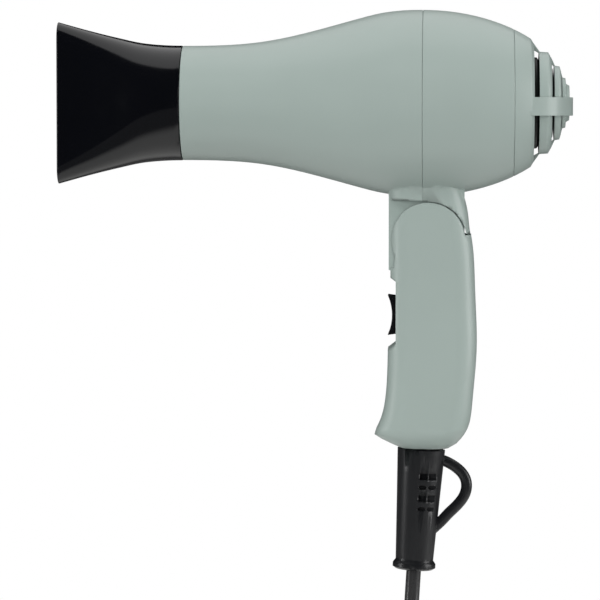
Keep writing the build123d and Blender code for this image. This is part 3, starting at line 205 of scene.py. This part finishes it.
sage_abs = finish_of("sage green ABS", "9CA9A4", "98A5A0", 26.0, 0.9, 0.008, 0.38)
for name in ("front_housing", "rear_housing"):
    shell = moulding_of(name)
    ease_edges_at(shell, SPLIT_X, SPLIT_INNER_R)
    if name == "rear_housing":
        ease_edges_at(shell, CAP_X, CAP_INNER_R)
    dress(shell, sage_abs)
    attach(shell, "barrel")
    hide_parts(name)

# ==== Inlet cap ====
# Domed end of the barrel, one ABS moulding: stepped rings on a broad level rib and a thin upright
# one. Clipped into the rear shell.
cap = moulding_of("inlet_cap", 24)
ease_edges_at(cap, CAP_X, CAP_INNER_R)
dress(cap, sage_abs)
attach(cap, "barrel")
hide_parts("inlet_cap")

# ==== Concentrator nozzle ====
# Black polycarbonate pushed over the collar, round behind and drawn out to a tall slot. Its tool was
# polished, so the skin is a deep gloss that mirrors the lights in long bands.
NOZZLE_BACK = -0.1049
NOZZLE_LENGTH = 0.0525
MOUTH_X = NOZZLE_BACK - NOZZLE_LENGTH
NOZZLE_BACK_R = 0.024
NOZZLE_WALL = 0.0016
# share of the length, half height and half width in mm
NOZZLE_FORM = [
    (0.0, 24.0, 24.0), (0.30, 24.9, 21.0), (0.53, 27.4, 15.6), (0.76, 30.4, 10.8), (1.0, 33.9, 7.4),
]
RINGS = 24


def along_form(share, column):
    """Smooth value between the nozzle's stations, in metres."""
    last = len(NOZZLE_FORM) - 1
    i = max(k for k in range(last) if NOZZLE_FORM[k][0] <= share + 1e-6)
    slopes = []
    for k in (i, i + 1):
        low, high = NOZZLE_FORM[max(k - 1, 0)], NOZZLE_FORM[min(k + 1, last)]
        slopes.append(0.0 if k == 0 else (high[column] - low[column]) / (high[0] - low[0]))
    span = NOZZLE_FORM[i + 1][0] - NOZZLE_FORM[i][0]
    t = (share - NOZZLE_FORM[i][0]) / span
    start, end = NOZZLE_FORM[i][column], NOZZLE_FORM[i + 1][column]
    value = (2 * t ** 3 - 3 * t ** 2 + 1) * start + (t ** 3 - 2 * t ** 2 + t) * span * slopes[0]
    value += (3 * t ** 2 - 2 * t ** 3) * end + (t ** 3 - t ** 2) * span * slopes[1]
    return value / 1000


deselect()
bpy.ops.mesh.primitive_circle_add(
    vertices=96, radius=NOZZLE_BACK_R, location=(NOZZLE_BACK, 0, BARREL_Z), rotation=(0, math.pi / 2, 0))
nozzle = bpy.context.object
nozzle.name = "nozzle_moulding"
bpy.ops.object.transform_apply(location=True, rotation=True, scale=True)
bpy.ops.object.mode_set(mode="EDIT")
bpy.ops.mesh.select_all(action="SELECT")
for ring in range(RINGS):
    bpy.ops.mesh.extrude_region_move(TRANSFORM_OT_translate={"value": (-NOZZLE_LENGTH / RINGS, 0, 0)})
bpy.ops.object.mode_set(mode="OBJECT")
for point in nozzle.data.vertices:
    share = (NOZZLE_BACK - point.co.x) / NOZZLE_LENGTH
    tall, wide = along_form(share, 1), along_form(share, 2)
    across, up = point.co.y / NOZZLE_BACK_R, (point.co.z - BARREL_Z) / NOZZLE_BACK_R
    point.co.y = across * wide
    point.co.z = BARREL_Z + up * wide + (math.copysign(tall - wide, up) if abs(up) > 0.001 else 0.0)
take_up(nozzle)
bpy.ops.object.mode_set(mode="EDIT")
bpy.ops.mesh.select_all(action="SELECT")
bpy.ops.mesh.normals_make_consistent(inside=False)
bpy.ops.object.mode_set(mode="OBJECT")
add_modifier(nozzle, "SOLIDIFY", thickness=NOZZLE_WALL, offset=-1.0, use_even_offset=True)
for point in nozzle.data.vertices:
    if point.co.x < MOUTH_X + 0.001:
        point.co.x = MOUTH_X
    if point.co.x > NOZZLE_BACK - 0.0002:
        point.co.x = NOZZLE_BACK
add_modifier(
    nozzle, "BEVEL", width=0.00045, segments=3, limit_method="ANGLE", angle_limit=math.radians(50))
bpy.ops.object.shade_smooth_by_angle(angle=math.radians(40))

gloss_black = finish_of("polished black polycarbonate", "0A0B0F", "07080B", 30.0, 6.0, 0.002, 0.14)
nozzle.data.materials.append(gloss_black)
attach(nozzle, "nozzle")
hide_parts("concentrator_nozzle")

# ==== Handle ====
# Two ABS shells screwed together from the right, parted along the middle; the ears at their tops
# hold the barrel's tongue, and the front has a shallow finger recess for the switch.
for name in ("handle_left", "handle_right"):
    shell = moulding_of(name)
    dress(shell, sage_abs)
    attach(shell, "handle")
    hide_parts(name)

# ==== Rocker switch ====
# Concave key of polished black nylon on its own pins, in a dull black case behind the recess.
rocker = moulding_of("rocker")
add_modifier(
    rocker, "BEVEL", width=EASED_EDGE, segments=2, limit_method="ANGLE", angle_limit=math.radians(50))
bpy.ops.object.shade_smooth_by_angle(angle=math.radians(40))
key_black = finish_of("polished black nylon", "101113", "0C0D0F", 12.0, 2.0, 0.004, 0.2)
dress(rocker, key_black)
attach(rocker, "rocker")
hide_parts("rocker")
case_black = finish_of("dull black switch case", "17181A", "101112", 4.0, 0.7, 0.02, 0.5)
give(case_black, "switch_case")

# ==== Strain relief ====
# Soft PVC moulded round the cord: a tapered sleeve with an end flange, rows of flex grooves behind,
# and a hanging loop in one piece with it. Satin black, a little grey where light grazes it.
relief = moulding_of("strain_relief", 32)
relief_pvc = finish_of("satin black PVC", "1A1B1D", "141517", 9.0, 0.8, 0.012, 0.34)
dress(relief, relief_pvc)
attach(relief, "handle")
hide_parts("strain_relief")

# ==== Cord ====
# 1.72 m of round two-core mains lead in black PVC, 6.2 mm thick. It drops from the strain relief,
# turns back along the surface into a tied round coil, and its tail runs forward to the plug.
CORD_THICK = 0.0062
CORD_EXIT = (-0.00784, 0.0, -0.0939)
DROP_SPOTS = [
    CORD_EXIT, (-0.00895, 0.0, -0.1120), (-0.0098, -0.0086, -0.1286), (-0.0100, -0.0244, -0.1390),
    (-0.0094, -0.0430, -0.1404),
]
COIL_CENTRE = (0.0280, -0.0620)
# radius and height of each turn in mm, from the top turn down to the last three quarters of one
COIL_TURNS = [
    (37.0, -139.1), (43.2, -145.0), (37.0, -145.0), (30.8, -145.0), (30.8, -150.9), (37.0, -150.9),
]
LAST_TURN = (43.2, -150.9)
TURN_SPOTS = 16
TURN_CHANGE = 0.72  # share of a turn after which the lay moves over to the next
TAIL_SPOTS = [
    (0.0130, -0.0188, -0.1509), (-0.0020, -0.0180, -0.1519), (-0.0250, -0.0195, -0.1420),
    (-0.0400, -0.0195, -0.1420),
]

route = list(DROP_SPOTS)
turns = COIL_TURNS + [LAST_TURN]
total_spots = int((len(COIL_TURNS) + 0.75) * TURN_SPOTS)
for spot in range(1, total_spots + 1):
    turn, share = divmod(spot / TURN_SPOTS, 1.0)
    here, following = turns[int(turn)], turns[min(int(turn) + 1, len(turns) - 1)]
    ease = max(0.0, (share - TURN_CHANGE) / (1 - TURN_CHANGE))
    radius = here[0] + (following[0] - here[0]) * ease
    height = here[1] + (following[1] - here[1]) * ease
    angle = math.pi + spot / TURN_SPOTS * 2 * math.pi
    route.append((
        COIL_CENTRE[0] + radius / 1000 * math.cos(angle),
        COIL_CENTRE[1] + radius / 1000 * math.sin(angle), height / 1000))
route += TAIL_SPOTS

cord_line = bpy.data.curves.new("mains_cord", "CURVE")
cord_line.dimensions = "3D"
cord_line.bevel_depth = CORD_THICK / 2
cord_line.bevel_resolution = 6
cord_line.resolution_u = 6
cord_line.use_fill_caps = True
spline = cord_line.splines.new("NURBS")
spline.points.add(len(route) - 1)
for point, spot in zip(spline.points, route):
    point.co = (*spot, 1.0)
spline.order_u = 3
spline.use_endpoint_u = True
cord = bpy.data.objects.new("mains_cord", cord_line)
bpy.context.collection.objects.link(cord)
cord_pvc = finish_of("black PVC sheath", "343434", "2B2B2C", 14.0, 0.9, 0.003, 0.3)
cord_line.materials.append(cord_pvc)
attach(cord, "handle")
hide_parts("cord_lead", "cord_tail", "cord_coil")
give(cord_pvc, "cord_sheath")

# ==== Cord tie ====
# Woven hook-and-loop strap, 1 mm thick, once round the coil.
tie = moulding_of("cord_tie")
tie_weave = finish_of("woven black strap", "1C1C1E", "131314", 1.2, 0.5, 0.12, 0.8)
dress(tie, tie_weave)
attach(tie, "handle")
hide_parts("cord_tie")

# ==== Plug ====
# Two-pin plug overmoulded on the cord in black PVC: a flat grip that narrows to a ringed sleeve.
# The pins are turned brass under bright nickel.
PLUG_BACK = -0.0400
PLUG_SPOT = (-0.0195, -0.1420)
# distance from the sleeve's end, half width and half height in mm, and squareness of the section
PLUG_FORM = [
    (0.0, 4.3, 4.3, 2.0), (0.6, 4.7, 4.7, 2.0), (3.6, 5.1, 5.0, 2.0), (4.0, 4.5, 4.5, 2.0),
    (5.4, 4.6, 4.6, 2.0), (5.8, 5.6, 5.5, 2.0), (8.6, 6.2, 5.9, 2.0), (9.0, 5.5, 5.3, 2.0),
    (10.4, 5.9, 5.5, 2.1), (10.8, 7.0, 6.2, 2.1), (14.0, 8.6, 7.2, 2.2), (18.0, 12.0, 9.0, 2.4),
    (22.0, 14.9, 10.8, 2.7), (26.0, 16.5, 12.2, 3.0), (28.0, 16.9, 12.6, 3.2), (29.0, 15.9, 12.0, 3.2),
    (30.0, 15.9, 12.0, 3.2), (31.0, 17.1, 12.8, 3.3), (36.6, 17.5, 13.0, 3.4), (37.6, 17.1, 12.6, 3.4),
    (38.0, 16.2, 11.8, 3.4),
]
deselect()
bpy.ops.mesh.primitive_circle_add(
    vertices=64, radius=1.0, location=(0, 0, 0), rotation=(0, math.pi / 2, 0), fill_type="NGON")
plug = bpy.context.object
plug.name = "plug_moulding"
bpy.ops.object.transform_apply(location=True, rotation=True, scale=True)
bpy.ops.object.mode_set(mode="EDIT")
bpy.ops.mesh.select_all(action="SELECT")
for ring in range(1, len(PLUG_FORM)):
    bpy.ops.mesh.extrude_region_move(TRANSFORM_OT_translate={"value": (-1.0, 0, 0)})
bpy.ops.object.mode_set(mode="OBJECT")
for point in plug.data.vertices:
    distance, wide, tall, square = PLUG_FORM[min(round(-point.co.x), len(PLUG_FORM) - 1)]
    across, up = point.co.y, point.co.z
    reach = (abs(across) ** square + abs(up) ** square) ** (-1 / square) / 1000
    point.co.x = PLUG_BACK - distance / 1000
    point.co.y = PLUG_SPOT[0] + across * reach * wide
    point.co.z = PLUG_SPOT[1] + up * reach * tall
take_up(plug)
bpy.ops.object.mode_set(mode="EDIT")
bpy.ops.mesh.select_all(action="SELECT")
bpy.ops.mesh.normals_make_consistent(inside=False)
bpy.ops.object.mode_set(mode="OBJECT")
bpy.ops.object.shade_smooth_by_angle(angle=math.radians(38))
plug.data.materials.append(cord_pvc)
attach(plug, "handle")
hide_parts("plug_body")

pins = moulding_of("plug_pins")
nickel = finish_of("bright nickel plate", "C9C6BF", "B9B6AE", 8.0, 0.6, 0.003, 0.22, metallic=1.0)
dress(pins, nickel)
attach(pins, "handle")
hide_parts("plug_pins")

# ==== Studio ====
# Plain white sweep: a pale floor that runs out into white, a broad soft light overhead, and two long
# panels that draw the bright bands on the gloss.
FLOOR_Z = -0.1552
FLOOR_R = 1.6
FADE_FROM, FADE_TO = 0.20, 0.33
FLOOR_GLOW = 0.12
ROOM_LIGHT = 0.30
deselect()
bpy.ops.mesh.primitive_circle_add(
    vertices=96, radius=FLOOR_R, location=(0, 0, FLOOR_Z), fill_type="NGON")
floor = bpy.context.object
floor.name = "studio_floor"
bpy.ops.object.transform_apply(location=True, rotation=True, scale=True)
paint = bpy.data.materials.new("matt white paint")
paint.use_nodes = True
paint_tree = paint.node_tree
paint_skin = paint_tree.nodes["Principled BSDF"]
paint_skin.inputs["Base Color"].default_value = linear("F2F2F0")
paint_skin.inputs["Roughness"].default_value = 0.7
floor_place = add_node(paint_tree, "ShaderNodeTexCoord").outputs["Object"]
flat_place = add_node(
    paint_tree, "ShaderNodeVectorMath", {1: (1.0, 1.0, 0.0)}, {0: floor_place}, operation="MULTIPLY")
from_middle = add_node(
    paint_tree, "ShaderNodeVectorMath", None, {0: flat_place.outputs["Vector"]}, operation="LENGTH")
run_out = add_node(
    paint_tree, "ShaderNodeMapRange", {"From Min": FADE_FROM, "From Max": FADE_TO},
    {"Value": from_middle.outputs["Value"]}, interpolation_type="SMOOTHSTEP")
paint_seen = add_node(paint_tree, "ShaderNodeLightPath").outputs["Is Camera Ray"]
glow = add_node(
    paint_tree, "ShaderNodeMapRange", {"To Min": FLOOR_GLOW, "To Max": 1.0}, {"Value": paint_seen})
white = add_node(
    paint_tree, "ShaderNodeEmission", {"Color": (1, 1, 1, 1)}, {"Strength": glow.outputs["Result"]})
join = add_node(
    paint_tree, "ShaderNodeMixShader", None,
    {0: run_out.outputs["Result"], 1: paint_skin.outputs["BSDF"], 2: white.outputs["Emission"]})
paint_tree.links.new(join.outputs["Shader"], paint_tree.nodes["Material Output"].inputs["Surface"])
floor.data.materials.append(paint)

world = bpy.data.worlds.new("white room")
bpy.context.scene.world = world
world.use_nodes = True
room = world.node_tree
rays = add_node(room, "ShaderNodeLightPath")
soft = add_node(
    room, "ShaderNodeMath", {1: ROOM_LIGHT}, {0: rays.outputs["Is Diffuse Ray"]}, operation="MULTIPLY")
strength = add_node(
    room, "ShaderNodeMath", None, {0: rays.outputs["Is Camera Ray"], 1: soft.outputs["Value"]},
    operation="ADD")
room.nodes["Background"].inputs["Color"].default_value = (1, 1, 1, 1)
room.links.new(strength.outputs["Value"], room.nodes["Background"].inputs["Strength"])


def panel(name, place, aim, width, height, watts):
    """Soft light panel at a place, turned to face what it lights."""
    light = bpy.data.lights.new(name, "AREA")
    light.shape = "RECTANGLE"
    light.size, light.size_y = width, height
    light.energy = watts
    lamp = bpy.data.objects.new(name, light)
    bpy.context.collection.objects.link(lamp)
    lamp.location = place
    lamp.rotation_euler = (Vector(aim) - Vector(place)).to_track_quat("-Z", "Y").to_euler()
    return lamp


panel("overhead softbox", (-0.1, 0.45, 1.25), (-0.03, 0.1, 0.08), 2.2, 1.8, 13.0)
panel("high front softbox", (-0.2, -1.3, 1.3), (-0.03, 0, 0.06), 1.2, 0.7, 8.0).visible_glossy = False
panel("front fill", (-0.25, -1.7, 0.1), (-0.03, 0, 0.02), 1.2, 0.8, 19.0).visible_glossy = False
panel("rear right strip", (0.9, -0.1, 0.05), (0, 0, -0.01), 0.5, 0.9, 5.5)
panel("left strip", (-1.1, -0.25, 0.0), (0, 0, 0.0), 0.22, 0.9, 3.5)

bpy.context.scene.view_settings.view_transform = "Standard"

# ==== Camera ====
# Long lens, level with the barrel and a little behind the grip, looking at the side of the dryer.
CAMERA_PLACE = Vector((0.0075, -1.43, 0.095))
LOOK_AT = Vector((-0.0558, 0.0, 0.0192))
lens = bpy.data.cameras.new("long lens")
lens.sensor_width = 36.0
lens.lens = 36.0 * (LOOK_AT - CAMERA_PLACE).length / 0.252
camera = bpy.data.objects.new("camera", lens)
bpy.context.collection.objects.link(camera)
camera.location = CAMERA_PLACE
camera.rotation_euler = (LOOK_AT - CAMERA_PLACE).to_track_quat("-Z", "Y").to_euler()
bpy.context.scene.camera = camera
